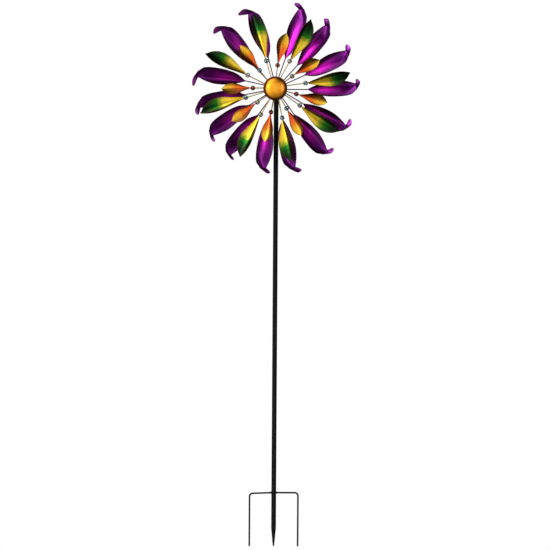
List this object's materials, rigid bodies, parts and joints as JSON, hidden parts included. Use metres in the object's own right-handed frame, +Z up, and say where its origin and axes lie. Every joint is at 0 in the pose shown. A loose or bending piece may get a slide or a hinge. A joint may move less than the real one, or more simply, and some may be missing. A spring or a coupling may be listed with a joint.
{
  "type": "wind spinner",
  "caption": "Garden wind spinner: two counter-facing metal petal wheels with glass beads on one axle, on a sectional pole with a pronged ground stake.",
  "frame": {"origin": "on the pole's axis at the ground line, just under the weld bead that holds the fork's crossbar", "axes": "+Z up along the pole, -Y towards the viewer and the front dome, +X to the viewer's right"},
  "size_m": [0.5904, 0.1451, 1.9083],
  "materials": {
    "black_powder_coat": "satin",
    "black_plastic": "matte",
    "zinc_steel": "satin",
    "bearing_steel": "polished",
    "cage_brass": "satin",
    "purple_metallic": "gloss",
    "purple_rod": "gloss",
    "gold_rod": "gloss",
    "green_gold_metallic": "gloss",
    "orange_gold_metallic": "gloss",
    "dome_gold": "gloss",
    "glass_red": "gloss",
    "glass_teal": "gloss",
    "glass_clear": "gloss"
  },
  "bodies": {
    "pole": {"ground_stake": "black_powder_coat", "stake_fork": "black_powder_coat", "lower_pole": "black_powder_coat", "middle_pole": "black_powder_coat"},
    "head": {"upper_pole": "black_powder_coat", "pole_cap": "black_plastic", "axle_sleeve": "zinc_steel", "axle_bolt": "zinc_steel", "axle_nuts": "zinc_steel", "axle_washers": "zinc_steel", "hub_spacer": "zinc_steel", "bearing_spacers": "zinc_steel", "inner_races": "bearing_steel"},
    "rear_wheel": {"rear_hub_barrel": "zinc_steel", "rear_hub_plate": "purple_rod", "rear_outer_races": "bearing_steel", "purple_stems": "purple_rod", "purple_petal_01": "purple_metallic", "purple_petal_02": "purple_metallic", "purple_petal_03": "purple_metallic", "purple_petal_04": "purple_metallic", "purple_petal_05": "purple_metallic", "purple_petal_06": "purple_metallic", "purple_petal_07": "purple_metallic", "purple_petal_08": "purple_metallic", "purple_petal_09": "purple_metallic", "purple_petal_10": "purple_metallic", "purple_petal_11": "purple_metallic", "purple_petal_12": "purple_metallic", "purple_petal_13": "purple_metallic", "purple_petal_14": "purple_metallic"},
    "front_wheel": {"front_hub_barrel": "zinc_steel", "front_hub_plate": "zinc_steel", "front_outer_races": "bearing_steel", "front_dome": "dome_gold", "green_leaf_stems": "gold_rod", "orange_leaf_stems": "gold_rod", "red_beads": "glass_red", "teal_beads": "glass_teal", "clear_beads": "glass_clear", "green_leaf_1": "green_gold_metallic", "green_leaf_2": "green_gold_metallic", "green_leaf_3": "green_gold_metallic", "green_leaf_4": "green_gold_metallic", "green_leaf_5": "green_gold_metallic", "green_leaf_6": "green_gold_metallic", "green_leaf_7": "green_gold_metallic", "green_leaf_8": "green_gold_metallic", "orange_leaf_1": "orange_gold_metallic", "orange_leaf_2": "orange_gold_metallic", "orange_leaf_3": "orange_gold_metallic", "orange_leaf_4": "orange_gold_metallic", "orange_leaf_5": "orange_gold_metallic", "orange_leaf_6": "orange_gold_metallic", "orange_leaf_7": "orange_gold_metallic", "orange_leaf_8": "orange_gold_metallic"},
    "rear_rollers": {"rear_balls": "bearing_steel", "rear_cages": "cage_brass"},
    "front_rollers": {"front_balls": "bearing_steel", "front_cages": "cage_brass"}
  },
  "joints": [
    {"name": "head_turn", "type": "hinge", "parent": "pole", "child": "head", "pos_m": [0, 0, 1.02], "axis": [0, 0, 1], "continuous": true},
    {"name": "rear_wheel_spin", "type": "hinge", "parent": "head", "child": "rear_wheel", "pos_m": [0, -0.0362, 1.422], "axis": [0, -1, 0], "continuous": true},
    {"name": "front_wheel_spin", "type": "hinge", "parent": "head", "child": "front_wheel", "pos_m": [0, -0.0962, 1.422], "axis": [0, -1, 0], "continuous": true},
    {"name": "rear_rollers_spin", "type": "hinge", "parent": "head", "child": "rear_rollers", "pos_m": [0, -0.0362, 1.422], "axis": [0, -1, 0], "continuous": true},
    {"name": "front_rollers_spin", "type": "hinge", "parent": "head", "child": "front_rollers", "pos_m": [0, -0.0962, 1.422], "axis": [0, -1, 0], "continuous": true}
  ],
  "couplings": [
    {"joint": "rear_rollers_spin", "follows": "rear_wheel_spin", "ratio": 0.632},
    {"joint": "front_rollers_spin", "follows": "front_wheel_spin", "ratio": 0.632}
  ]
}
